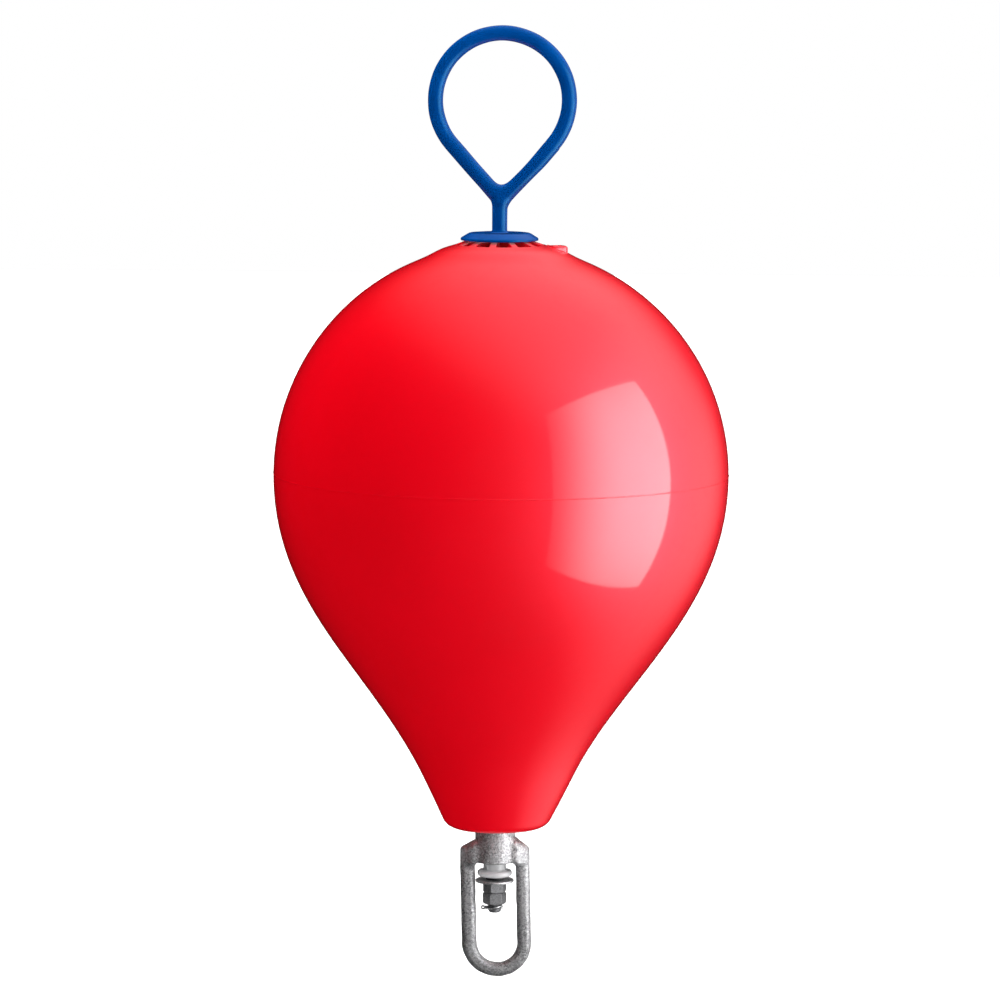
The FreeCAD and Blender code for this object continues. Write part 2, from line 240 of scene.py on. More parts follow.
redVinyl = finishOf("redVinyl", paintRedVinyl, {
    "IOR": 1.58, "Specular Tint": (1.0, 0.66, 1.0), "Coat Weight": 1.0, "Coat Roughness": 0.07,
    "Coat IOR": 1.5})
blueCoat = finishOf("blueCoat", paintBlueCoat, {"IOR": 1.38, "Specular Tint": (0.13, 0.68, 1.0)})
forgedZinc = finishOf("forgedZinc", zincPainter(forgedZincLook))
nutZinc = finishOf("nutZinc", zincPainter(nutZincLook))
plateZinc = finishOf("plateZinc", zincPainter(plateZincLook))
brightZinc = finishOf("brightZinc", zincPainter(brightZincLook))
nylon = finishOf("nylon", paintNylon, {"IOR": 1.53})
rubber = finishOf("rubber", paintRubber)
print("finishes made")


def added(name, data):
    made = bpy.data.objects.new(name, data)
    scene.collection.objects.link(made)
    return made


def pieceOf(name, mesh, finish, nodes, slot, body="buoy"):
    work = bmesh.new()
    work.from_mesh(mesh)
    if work.calc_volume(signed=True) < 0:
        bmesh.ops.reverse_faces(work, faces=work.faces)
    for face in work.faces:
        face.smooth = True
        face.material_index = 0
    work.to_mesh(mesh)
    openEdges = sum(1 for edge in work.edges if len(edge.link_faces) != 2)
    work.free()
    mesh.materials.clear()
    mesh.materials.append(finish)
    made = added(name, mesh)
    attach(made, body)
    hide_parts(*nodes)
    print(name, "faces", len(mesh.polygons), "open edges", openEdges)
    return made


def newTree(name, counts, lengths):
    tree = bpy.data.node_groups.new(name, "GeometryNodeTree")
    inputs = [("Table", "Geometry"), ("Finish", "Material")]
    inputs += [(label, "Int") for label in counts] + [(label, "Float") for label in lengths]
    for label, kind in inputs:
        tree.interface.new_socket(label, in_out="INPUT", socket_type="NodeSocket" + kind)
    tree.interface.new_socket("Mesh", in_out="OUTPUT", socket_type="NodeSocketGeometry")
    source = tree.nodes.new("NodeGroupInput")
    given = {socket.name: Wire(tree, socket) for socket in source.outputs if socket.name}
    return tree, given


# the last steps of every tree
def endTree(tree, given, mesh):
    whole = mesh.node("GeometryNodeRealizeInstances", values={"Geometry": mesh})
    painted = whole.node("GeometryNodeSetMaterial",
                         values={"Geometry": whole, "Material": given["Finish"]})
    sink = tree.nodes.new("NodeGroupOutput")
    connect(tree, sink.inputs["Mesh"], painted)


# runs a tree on a table of points in millimetres and keeps the plain mesh
def grown(name, tree, points, sizes, edges=()):
    table = bpy.data.meshes.new(name + "Table")
    table.from_pydata([tuple(float(x) * mm for x in point) for point in points], edges, [])
    holder = added(name + "Table", table)
    modifier = holder.modifiers.new("grow", "NODES")
    modifier.node_group = tree
    for item in tree.interface.items_tree:
        if item.in_out == "INPUT" and item.name in sizes:
            modifier[item.identifier] = sizes[item.name]
    graph = bpy.context.evaluated_depsgraph_get()
    mesh = bpy.data.meshes.new_from_object(holder.evaluated_get(graph), depsgraph=graph)
    bpy.data.objects.remove(holder)
    mesh.name = name
    return mesh


# a grid whose rows follow the table's points and whose columns go round the axis
def gridRoundAxis(given, columns):
    maker = given["Table"]
    index = maker.node("GeometryNodeInputIndex")
    perRow = columns + 1
    row = ((index + 0.5) / perRow).maths("FLOOR")
    column = index - row * perRow
    grid = maker.node("GeometryNodeMeshGrid", values={
        "Size X": 1.0, "Size Y": 1.0, "Vertices X": given["Rows"], "Vertices Y": perRow})
    return grid, row, column


def tablePoint(given, number):
    maker = given["Table"]
    position = maker.node("GeometryNodeInputPosition")
    return maker.node("GeometryNodeSampleIndex", {"data_type": "FLOAT_VECTOR"},
                      {"Geometry": maker, "Value": position, "Index": number}).parts()


# the grid at its place, with its seams and poles closed
def placed(grid, radius, angle, height, aside=0.0):
    spot = grid.vector(radius * angle.maths("COSINE") + aside, radius * angle.maths("SINE"), height)
    skin = grid.node("GeometryNodeSetPosition", values={"Geometry": grid, "Position": spot})
    return skin.node("GeometryNodeMergeByDistance", values={"Geometry": skin, "Distance": 1e-6})


# turned pieces: each point of the outline is (radius, share of the thread, height)
def turnedTree():
    tree, given = newTree("turnedSkin", ["Rows", "Columns"], ["Pitch", "Groove"])
    grid, row, column = gridRoundAxis(given, given["Columns"])
    radius, thread, height = tablePoint(given, row)
    angle = column / given["Columns"] * fullTurn
    turn = (height / given["Pitch"] - angle / fullTurn).maths("FRACT")
    flank = 1.0 - (turn * 2.0 - 1.0).maths("ABSOLUTE")
    cut = thread / mm * given["Groove"] * flank.rise(0.12, 0.88)
    endTree(tree, given, placed(grid, radius - cut, angle, height))
    return tree


turnedSkin = turnedTree()


# outline through corners (radius, height, rounding), with points held close to each bend
def roundedOutline(corners, steps=6, hold=0.25):
    flat = [np.array(corner[:2], float) for corner in corners]
    points = []
    for place, corner in enumerate(corners):
        rounding = corner[2] if len(corner) > 2 else 0.0
        point = flat[place]
        if place in (0, len(corners) - 1) or rounding == 0.0:
            points.append(point)
            continue
        back = flat[place - 1] - point
        ahead = flat[place + 1] - point
        backRoom, aheadRoom = np.linalg.norm(back), np.linalg.norm(ahead)
        back, ahead = back / backRoom, ahead / aheadRoom
        half = acos(max(-1.0, min(1.0, back.dot(ahead)))) / 2
        setback = rounding / tan(half)
        centre = point + (back + ahead) / np.linalg.norm(back + ahead) * rounding / sin(half)
        start, end = point + back * setback - centre, point + ahead * setback - centre
        sweep = pi - 2 * half
        if backRoom > setback + 2 * hold:
            points.append(point + back * (setback + hold))
        for step in range(steps + 1):
            share = step / steps
            blend = (start * sin((1 - share) * sweep) + end * sin(share * sweep))
            points.append(centre + blend / sin(sweep))
        if aheadRoom > setback + 2 * hold:
            points.append(point + ahead * (setback + hold))
    return [(float(r), 0.0, float(z)) for r, z in points]


def turnedPiece(name, outline, columns, finish, nodes, slot, pitch=1.0, groove=0.0):
    mesh = grown(name, turnedSkin, outline, {
        "Rows": len(outline), "Columns": columns, "Pitch": pitch * mm, "Groove": groove * mm,
        "Finish": finish})
    return pieceOf(name, mesh, finish, nodes, slot)


# forged and coated shapes are distance fields, in mm, with a skin put on them
farOff = 1e3  # where a wall plays no part


def smoothMin(first, second, reach):
    share = np.clip(0.5 + 0.5 * (second - first) / reach, 0.0, 1.0)
    return second * (1 - share) + first * share - reach * share * (1 - share)


def smoothMax(first, second, reach):
    return -smoothMin(-first, -second, reach)


# two walls meet in a rounded edge
def roundedEdge(first, second, rounding):
    first, second = first + rounding, second + rounding
    return (np.minimum(np.maximum(first, second), 0.0)
            + np.hypot(np.maximum(first, 0.0), np.maximum(second, 0.0)) - rounding)


def toSegment(x, z, start, end):
    x, z = x - start[0], z - start[1]
    runX, runZ = end[0] - start[0], end[1] - start[1]
    share = np.clip((x * runX + z * runZ) / (runX ** 2 + runZ ** 2), 0.0, 1.0)
    return np.hypot(x - share * runX, z - share * runZ)


# gentle, about -1 to 1, with waves of the given length
def unevenness(points, length, seed):
    draw = np.random.default_rng(seed)
    total = np.zeros(len(points))
    for _ in range(7):
        direction = draw.normal(size=3)
        direction *= fullTurn / length * draw.uniform(0.6, 1.3) / np.linalg.norm(direction)
        total += np.sin(points @ direction + draw.uniform(0, fullTurn))
    return total / 3.5


# surface nets: a point in every cell that the surface crosses, drawn onto it
def skinned(field, low, high, step, rounds=5):
    counts = [ceil((high[axis] - low[axis]) / step) + 1 for axis in range(3)]
    lines = [low[axis] + step * np.arange(counts[axis]) for axis in range(3)]
    inside = np.empty(counts, bool)
    for slab in range(counts[0]):
        spots = np.stack(np.meshgrid([lines[0][slab]], lines[1], lines[2], indexing="ij"), -1)
        inside[slab] = (field(spots.reshape(-1, 3)) < 0).reshape(counts[1:])
    total = np.zeros([count - 1 for count in counts], np.int8)
    for corner in np.ndindex(2, 2, 2):
        total += inside[tuple(slice(c, count - 1 + c) for c, count in zip(corner, counts))]
    cells = np.argwhere((total > 0) & (total < 8))
    number = np.full(total.shape, -1)
    number[tuple(cells.T)] = np.arange(len(cells))
    quads = []
    for axis in range(3):
        side, other = (axis + 1) % 3, (axis + 2) % 3
        near = np.take(inside, range(counts[axis] - 1), axis)
        far = np.take(inside, range(1, counts[axis]), axis)
        edges = np.argwhere(near != far)
        leaving = near[tuple(edges.T)]
        ring = []
        for backSide, backOther in ((1, 1), (0, 1), (0, 0), (1, 0)):
            cell = edges.copy()
            cell[:, side] -= backSide
            cell[:, other] -= backOther
            ring.append(number[tuple(cell.T)])
        ring = np.stack(ring, -1)
        ring[~leaving] = ring[~leaving][:, ::-1]
        quads.append(ring)
    quads = np.concatenate(quads)
    points = np.array(low) + step * (cells + 0.5)
    starts = quads.ravel()
    ends = np.roll(quads, -1, 1).ravel()
    shares = np.bincount(starts, minlength=len(points)) + np.bincount(ends, minlength=len(points))
    reach = 0.02 * step
    probe = reach * np.array([[1, -1, -1], [-1, 1, -1], [-1, -1, 1], [1, 1, 1]])
    for turn in range(rounds):
        if turn:
            for axis in range(3):
                near = np.bincount(starts, points[ends, axis], len(points))
                near += np.bincount(ends, points[starts, axis], len(points))
                points[:, axis] += 0.6 * (near / shares - points[:, axis])
        for _ in range(2):
            samples = [field(points + offset) for offset in probe]
            slope = sum(sample[:, None] * offset for sample, offset in zip(samples, probe))
            slope /= 4 * reach ** 2
            value = sum(samples) / 4
            steepness = np.maximum((slope ** 2).sum(1), 0.05)
            move = slope * (value / steepness)[:, None]
            length = np.linalg.norm(move, axis=1, keepdims=True)
            points -= move * np.minimum(1.0, 0.7 * step / np.maximum(length, 1e-9))
    return points, quads


def skinnedPiece(name, field, low, high, step, *about):
    points, quads = skinned(field, low, high, step)
    mesh = bpy.data.meshes.new(name)
    mesh.from_pydata((points * mm).tolist(), [], quads.tolist())
    return pieceOf(name, mesh, *about)


def boxOf(node):
    low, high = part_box(node)
    return [x / mm for x in low], [x / mm for x in high]


floatSizes = {
    "widest": 260.0, "widestHeight": -2.0, "crownArc": 264.0, "crownEdge": 95.0, "seat": 37.4,
    "base": -409.3, "shoulderPull": 150.5, "neckLength": 60.0, "neck": 87.2, "neckPull": 133.5,
    "foot": 58.0, "footRounding": 16.0, "bore": 9.45, "boreRounding": 1.0, "ribs": 12,
    "ribWidth": 8.0, "ribTurn": 20.0, "pocketInside": 21.95, "crownPocketEdge": 50.0,
    "crownPocketDepth": 15.0, "basePocketEdge": 39.0, "basePocketDepth": 9.0, "edgeRounding": 1.3,
    "floorRounding": 0.9, "draft": 0.3, "seamHeight": 0.4, "seamWidth": 1.3, "waviness": 0.3,
    "swell": 2.2, "swellRadius": 68.0, "swellReach": 15.0, "evenRadii": (52.0, 110.0),
    "belly": 3.7, "bellyRadii": (30.0, 80.0), "bellyFoot": (-330.0, -220.0),
    "bellyFootShare": 0.73, "bellyCrown": (100.0, 300.0), "bellyCrownShare": 0.55}


def crownOffset():
    return floatSizes["crownEdge"] - floatSizes["widest"] + floatSizes["crownArc"]


# height of the crown at a distance from the axis
def crownHeight(radius):
    s = floatSizes
    height = s["widestHeight"]
    if radius < s["crownEdge"]:
        rise = sqrt(s["crownArc"] ** 2 - crownOffset() ** 2)
        slope = crownOffset() / rise
        height += rise + (s["crownEdge"] - max(radius, s["seat"])) * slope
    else:
        height += sqrt(s["crownArc"] ** 2 - (radius - s["widest"] + s["crownArc"]) ** 2)
    return height + s["swell"] * exp(-((radius - s["swellRadius"]) / s["swellReach"]) ** 2)


# the sine and one less the cosine at each step of a quarter turn
def quarterTurn(steps):
    angles = [pi / 2 * step / steps for step in range(steps + 1)]
    return [(sin(angle), 1 - cos(angle)) for angle in angles]


# from a rib's top or the rim down to the pocket's floor: (way across, share of the depth)
def pocketWall(depth):
    s = floatSizes
    top, foot = s["edgeRounding"], s["floorRounding"]
    wall = [(top * (sine - 1), top * rest / depth) for sine, rest in quarterTurn(5)]
    wall += [(s["draft"] + foot * rest, (depth - foot + foot * sine) / depth)
             for sine, rest in quarterTurn(3)]
    return wall


# the float's outline, up the bore and round outside: (radius, sink into a pocket, height)
def floatRows():
    s = floatSizes
    hub = crownHeight(s["seat"])
    base = s["base"]
    rows = [(s["bore"], 0, base + 12), (s["bore"], 0, hub - 12)]
    boreEdge = [(s["bore"] + s["boreRounding"] * rest, s["boreRounding"] * (1 - sine))
                for sine, rest in quarterTurn(4)]
    rows += [(radius, 0, hub - depth) for radius, depth in boreEdge]
    rows += [(12.0, 0, hub), (16.0, 0, hub), (19.5, 0, hub)]
    crownWall = pocketWall(s["crownPocketDepth"])
    floor = hub - s["crownPocketDepth"]

    def crownRow(radius, share):
        height = crownHeight(radius)
        return radius, -share * (height - floor), height
    rows += [crownRow(s["pocketInside"] + across, share) for across, share in crownWall]
    rows += [crownRow(radius, 1.0) for radius in (26.0, 30.0, 34.0, s["seat"], 41.0, 44.5, 47.5)]
    rows += [crownRow(s["crownPocketEdge"] - across, share) for across, share in crownWall[::-1]]
    rows += [crownRow(radius, 0.0) for radius in np.linspace(52.0, s["crownEdge"], 16)]
    edgeTurn = acos(crownOffset() / s["crownArc"])
    for angle in np.linspace(edgeTurn, 0.022, 60)[1:]:
        rows.append((s["widest"] - s["crownArc"] * (1 - cos(angle)), 0,
                     s["widestHeight"] + s["crownArc"] * sin(angle)))
    # close together over the parting line
    for height in (2.4, 1.4, 0.9, *np.linspace(0.7, -0.7, 11), -0.9, -1.4):
        reach = s["crownArc"] ** 2 - (height - s["widestHeight"]) ** 2
        rows.append((s["widest"] - s["crownArc"] + sqrt(reach), 0, height))
    neckFoot = np.array([s["neck"], base + s["neckLength"]])
    down = np.array([s["foot"] - s["neck"], -s["neckLength"]])
    down /= np.linalg.norm(down)
    start = np.array([s["widest"], s["widestHeight"]])
    poles = [start, start - (0.0, s["shoulderPull"]), neckFoot - down * s["neckPull"], neckFoot]
    for share in np.linspace(0.0, 1.0, 62)[:-1]:
        left = 1 - share
        point = (poles[0] * left ** 3 + poles[1] * 3 * left ** 2 * share
                 + poles[2] * 3 * left * share ** 2 + poles[3] * share ** 3)
        rows.append((point[0], 0, point[1]))
    edge = s["basePocketEdge"] + s["edgeRounding"]
    end = roundedOutline([(*neckFoot,), (s["foot"], base, s["footRounding"]), (edge, base)],
                         steps=12, hold=2.0)
    for share in (0.0, 0.25, 0.5, 0.75):
        rows.append(tuple(np.array(end[0]) * (1 - share) + np.array(end[1]) * share))
    rows += end[1:-1]
    rows += [(45.0, 0, base), (42.0, 0, base)]
    depth = s["basePocketDepth"]
    baseWall = pocketWall(depth)
    rows += [(s["basePocketEdge"] - across, share * depth, base) for across, share in baseWall]
    rows += [(radius, depth, base) for radius in (36.0, 32.0, 28.0, 25.0)]
    rows += [(s["pocketInside"] + across, share * depth, base)
             for across, share in baseWall[::-1]]
    rows += [(19.5, 0, base), (15.0, 0, base), (12.0, 0, base)]
    rows += [(radius, 0, base + depth) for radius, depth in boreEdge[::-1]]
    rows.append(rows[0])
    return rows


# columns from rib to rib: (way from the rib's middle, share of the depth, turn)
def ribColumns():
    s = floatSizes
    half = s["ribWidth"] / 2
    side = [(0.0, 0.0), (half * 0.3, 0.0), (half * 0.55, 0.0)]
    side += [(half + across, share) for across, share in pocketWall(s["crownPocketDepth"])]
    columns = [(way, share, 0.0) for way, share in side]
    columns += [(side[-1][0], 1.0, turn) for turn in (0.14, 0.32, 0.5, 0.68, 0.86)]
    columns += [(way, share, 1.0) for way, share in side[:0:-1]]
    return columns


def floatTree():
    tree, given = newTree("floatSkin", ["Rows", "Ribs", "Columns per rib"], [
        "Rib turn", "Even from", "Even to", "Seam height", "Seam width", "Waviness", "Belly"])
    perRib = given["Columns per rib"]
    grid, row, column = gridRoundAxis(given, given["Ribs"] * perRib)
    radius, sink, height = tablePoint(given, row)
    rib = ((column + 0.5) / perRib).maths("FLOOR")
    within = column - rib * perRib
    way, share, turn = tablePoint(given, given["Rows"] + within)
    share, turn = share / mm, turn / mm
    sector = fullTurn / given["Ribs"]
    lean = (way / radius).maths("ARCSINE") * (1.0 - turn * 2.0)
    bunched = sector * (rib + turn) + lean
    spread = sector * (rib + within / perRib)
    evenness = radius.rise(given["Even from"], given["Even to"])
    angle = evenness.blend(bunched, spread) + given["Rib turn"]
    # the parting line: a fine bead that varies a little round the float
    around = grid.vector(angle.maths("COSINE"), angle.maths("SINE"))
    across = height / (given["Seam width"] * 0.5)
    bead = (1.0 - across * across).maths("MAXIMUM", 0.0)
    bead = bead * given["Seam height"] * around.noise(9.0, 3.0).rise(0.3, 0.6, 0.55, 1.0)
    bead = bead * radius.rise(0.2, 0.25)
    field = around + grid.vector(z=height * 6.0)
    wave = (field.noise(1.6, 1.0) - 0.5) * given["Waviness"] * radius.rise(0.1, 0.2)
    # the belly hangs a little to one side of the rod
    s = floatSizes
    radii, foot, crown = [[x * mm for x in s[name]] for name in (
        "bellyRadii", "bellyFoot", "bellyCrown")]
    belly = given["Belly"] * radius.rise(*radii) * height.rise(*foot, s["bellyFootShare"])
    belly = belly * height.rise(*crown, 1.0, s["bellyCrownShare"])
    endTree(tree, given, placed(grid, radius + bead + wave, angle, height + sink * share, belly))
    return tree


rows, columns = floatRows(), ribColumns()
evenFrom, evenTo = floatSizes["evenRadii"]
floatMesh = grown("floatShell", floatTree(), rows + columns, {
    "Rows": len(rows), "Columns per rib": len(columns), "Ribs": floatSizes["ribs"],
    "Rib turn": radians(floatSizes["ribTurn"] - 90), "Even from": evenFrom * mm,
    "Even to": evenTo * mm, "Seam height": floatSizes["seamHeight"] * mm,
    "Seam width": floatSizes["seamWidth"] * mm, "Waviness": floatSizes["waviness"] * mm,
    "Belly": floatSizes["belly"] * mm, "Finish": redVinyl})

valveSizes = {
    "boss": 10.3, "bossTurn": -67.0, "socket": 5.65, "edge": 3.3, "root": 1.1, "patch": 14.2,
    "patchRoom": 1.1, "columns": 96, "plug": 5.5, "plugHeight": 5.0, "plugEdge": 0.5,
    "plugSunk": 0.6, "slot": 1.4, "slotDepth": 1.6, "slotEdge": 0.25}


def softStep(value, low, high):
    share = min(1.0, max(0.0, (value - low) / (high - low)))
    return share * share * (3.0 - 2.0 * share)


# how far aside the crown's grid stands at a distance from the axis
def crownAside(radius):
    s = floatSizes
    aside = s["belly"] * softStep(radius, *s["bellyRadii"])
    lean = softStep(crownHeight(radius), *s["bellyCrown"])
    return aside * (1.0 - (1.0 - s["bellyCrownShare"]) * lean)


# the valve boss is a round patch let into the crown's grid
def addValveBoss(mesh):
    s = valveSizes
    plugLow, plugHigh = boxOf("valve_plug")
    x0, y0 = (plugLow[0] + plugHigh[0]) / 2, (plugLow[1] + plugHigh[1]) / 2
    top = plugHigh[2] + s["plugSunk"]
    bottom = plugLow[2]
    work = bmesh.new()
    work.from_mesh(mesh)
    doomed = []
    for face in work.faces:
        x, y, z = [share / mm for share in face.calc_center_median()]
        if z > 0 and hypot(x - x0, y - y0) < s["patch"] + s["patchRoom"]:
            doomed.append(face)
    bmesh.ops.delete(work, geom=doomed, context="FACES")
    rim = [edge for edge in work.edges if len(edge.link_faces) == 1]
    rings = []
    # each ring is (what it lies on, reach, lift, how square)
    profile = [("skin", s["patch"], 0.0, 0.0), ("skin", s["patch"] - 0.5, 0.0, 0.0)]
    profile += [("skin", s["boss"] + s["root"] * (1 - sine), s["root"] * rest, 1.0)
                for sine, rest in quarterTurn(5)]
    profile.append(("top", s["boss"], -s["edge"] - 0.2, 1.0))
    profile += [("top", s["boss"] - s["edge"] * rest, -s["edge"] * (1 - sine), 1.0)
                for sine, rest in quarterTurn(8)]
    profile += [("top", s["socket"] + 0.5, 0.0, 0.0), ("top", s["socket"] + 0.12, -0.1, 0.0),
                ("top", s["socket"], -0.4, 0.0), ("top", s["socket"], -2.0, 0.0),
                ("deep", s["socket"], 0.0, 0.0), ("deep", 3.0, 0.0, 0.0)]
    for kind, reach, lift, square in profile:
        ring = []
        for column in range(s["columns"]):
            angle = fullTurn * column / s["columns"]
            sideways = angle - radians(s["bossTurn"])
            bulge = (cos(sideways) ** 4 + sin(sideways) ** 4) ** -0.25
            wide = reach * (1 + (bulge - 1) * square)
            x, y = x0 + wide * cos(angle), y0 + wide * sin(angle)
            radius = hypot(x - crownAside(hypot(x, y)), y)
            ground = {"skin": crownHeight(radius), "top": top, "deep": bottom}[kind]
            ring.append(work.verts.new((x * mm, y * mm, (ground + lift) * mm)))
        rings.append(ring)
    for outer, inner in zip(rings, rings[1:]):
        for column in range(s["columns"]):
            ahead = (column + 1) % s["columns"]
            work.faces.new((outer[column], outer[ahead], inner[ahead], inner[column]))
    middle = work.verts.new((x0 * mm, y0 * mm, bottom * mm))
    for column in range(s["columns"]):
        work.faces.new((rings[-1][column], rings[-1][(column + 1) % s["columns"]], middle))
    patchRim = [edge for edge in work.edges if len(edge.link_faces) == 1
                and all(vert in rings[0] for vert in edge.verts)]
    bmesh.ops.triangle_fill(work, use_beauty=True, use_dissolve=False, edges=rim + patchRim)
    bmesh.ops.recalc_face_normals(work, faces=work.faces)
    work.to_mesh(mesh)
    work.free()
    return x0, y0, top


valveX, valveY, valveTop = addValveBoss(floatMesh)
pieceOf("floatShell", floatMesh, redVinyl, ["buoy_float"], "red_vinyl")


def plugField(points):
    s = valveSizes
    x, y, z = points.T
    x, y, z = x - valveX, y - valveY, z - (valveTop - s["plugSunk"])
    half = s["plugHeight"] / 2
    body = roundedEdge(np.hypot(x, y) - s["plug"], np.abs(z + half) - half, s["plugEdge"])
    slot = np.maximum(np.abs(y) - s["slot"] / 2, -z - s["slotDepth"])
    return smoothMax(body, -slot, s["slotEdge"])


plugLow, plugHigh = boxOf("valve_plug")
skinnedPiece("valvePlug", plugField, [x - 0.6 for x in plugLow], [x + 0.6 for x in plugHigh],
             0.2, nylon, ["valve_plug"], "white_nylon")
print("float and valve made")

eyeSizes = {
    "bar": 8.7, "ring": 75.8, "centreX": 2.1, "centreHeight": 424.7, "root": 311.0, "rootX": 1.4,
    "outwards": (0.3, 2.1), "outwardsHeight": 352.0, "outwardsReach": 20.0, "outwardsRun": 12.0,
    "legBlend": 4.0, "crotchBlend": 14.0, "crotchFrom": 5.0, "crotchRun": 10.0, "stemBlend": 2.5,
    "stemFoot": 2.0, "stemHead": 3.0, "footBlend": 4.0, "flangeTop": 34.5, "flangeRise": 0.4,
    "flangeWiden": 0.6, "flangeBlend": 0.8, "rimHeight": 2.8, "rimRounding": 0.9,
    "rippling": 0.12, "rippleLength": 26.0, "calmFoot": 6.0}


def eyeField(points):
    s = eyeSizes
    x, y, z = points.T
    low, high = flangeBox
    radius, bottom, top = high[0] + s["flangeWiden"], low[2], high[2] + s["flangeRise"]
    centreX, centreZ = s["centreX"], s["centreHeight"]
    rootX, rootZ = s["rootX"], s["root"]
    # the legs bow outwards a little on their way up
    swell = np.exp(-((z - s["outwardsHeight"]) / s["outwardsReach"]) ** 2)
    bowed = np.where(x < rootX, *s["outwards"]) * swell
    legX = x - bowed * np.clip((x - rootX) / s["outwardsRun"], -1.0, 1.0)
    reach = hypot(centreX - rootX, centreZ - rootZ)
    spread = asin(s["ring"] / reach)
    upwards = atan2(centreZ - rootZ, centreX - rootX)
    length = sqrt(reach ** 2 - s["ring"] ** 2)
    legs = []
    for side in (-1, 1):
        angle = upwards + side * spread
        end = (rootX + cos(angle) * length, rootZ + sin(angle) * length)
        legs.append(np.hypot(toSegment(legX, z, (rootX, rootZ), end), y) - s["bar"])
    # the ring runs over the top from leg to leg
    around = np.arctan2(x - centreX, z - centreZ)
    onRing = np.abs(np.hypot(x - centreX, z - centreZ) - s["ring"])
    lowest = pi / 2 + spread
    ring = np.where(np.abs(around) <= lowest, np.hypot(onRing, y) - s["bar"], farOff)
    # the weld fills the crotch but not the outer sides
    filled = np.clip((z - rootZ - s["crotchFrom"]) / s["crotchRun"], 0.0, 1.0)
    legBlend = s["legBlend"] + (s["crotchBlend"] - s["legBlend"]) * filled
    shape = np.minimum(smoothMin(legs[0], legs[1], legBlend), ring)
    aroundStem = np.hypot(x, y)
    onStem = np.clip(z, bottom + s["stemFoot"], rootZ - s["stemHead"])
    shape = smoothMin(shape, np.hypot(aroundStem, onStem - z) - s["bar"], s["stemBlend"])
    r = s["rimRounding"]
    rise = top - bottom - s["rimHeight"]
    run = radius - s["flangeTop"]
    coneLength = hypot(rise, run)
    cone = ((aroundStem - radius) * rise + (z - bottom - s["rimHeight"]) * run) / coneLength
    disc = smoothMax(roundedEdge(aroundStem - radius, bottom - z, r),
                     roundedEdge(cone, z - top, r), s["flangeBlend"])
    shape = smoothMin(shape, disc, s["footBlend"])
    shape = np.maximum(shape, bottom - z)
    ripple = unevenness(points, s["rippleLength"], 4)
    return shape + s["rippling"] * ripple * np.clip((z - bottom) / s["calmFoot"], 0, 1)


flangeBox = boxOf("eye_flange")
eyeBox = boxOf("lifting_eye")
# a step at which the bar's front and back lie between two planes of the grid
eyeStep = eyeSizes["bar"] / 9.5
eyeDepth = ceil((flangeBox[1][1] + 2) / eyeStep) * eyeStep
coatedEye = skinnedPiece(
    "coatedEye", eyeField, [eyeBox[0][0] - 3, -eyeDepth, flangeBox[0][2] - 2],
    [eyeBox[1][0] + 3, eyeDepth, eyeBox[1][2] + 3], eyeStep, blueCoat,
    ["lifting_eye", "eye_flange"], "blue_coating")
# the vinyl is too soft a mirror to show the eye
coatedEye.visible_glossy = False
print("eye made")

bowSizes = {
    "boss": 22.8, "bore": 11.08, "inner": 23.7, "innerShift": 0.5, "outer": 39.9, "bar": 15.6,
    "edge": 7.0, "shoulderDrop": (14.0, 10.5), "cornerDrop": (22.0, 22.0), "cornerBlend": 3.5,
    "crotch": 6.5, "bossBlend": 3.0, "bossEdge": 2.0, "bossHeight": 38.7, "topRoom": 2.0,
    "cheek": 7.0, "cheekFoot": 9.0, "cutEdge": 1.0, "cutRoom": 10.0, "lean": 0.027, "flash": 0.25,
    "flashWidth": 1.1, "lumps": 0.16, "lumpLength": 14.0, "grain": 0.06, "grainLength": 4.0}


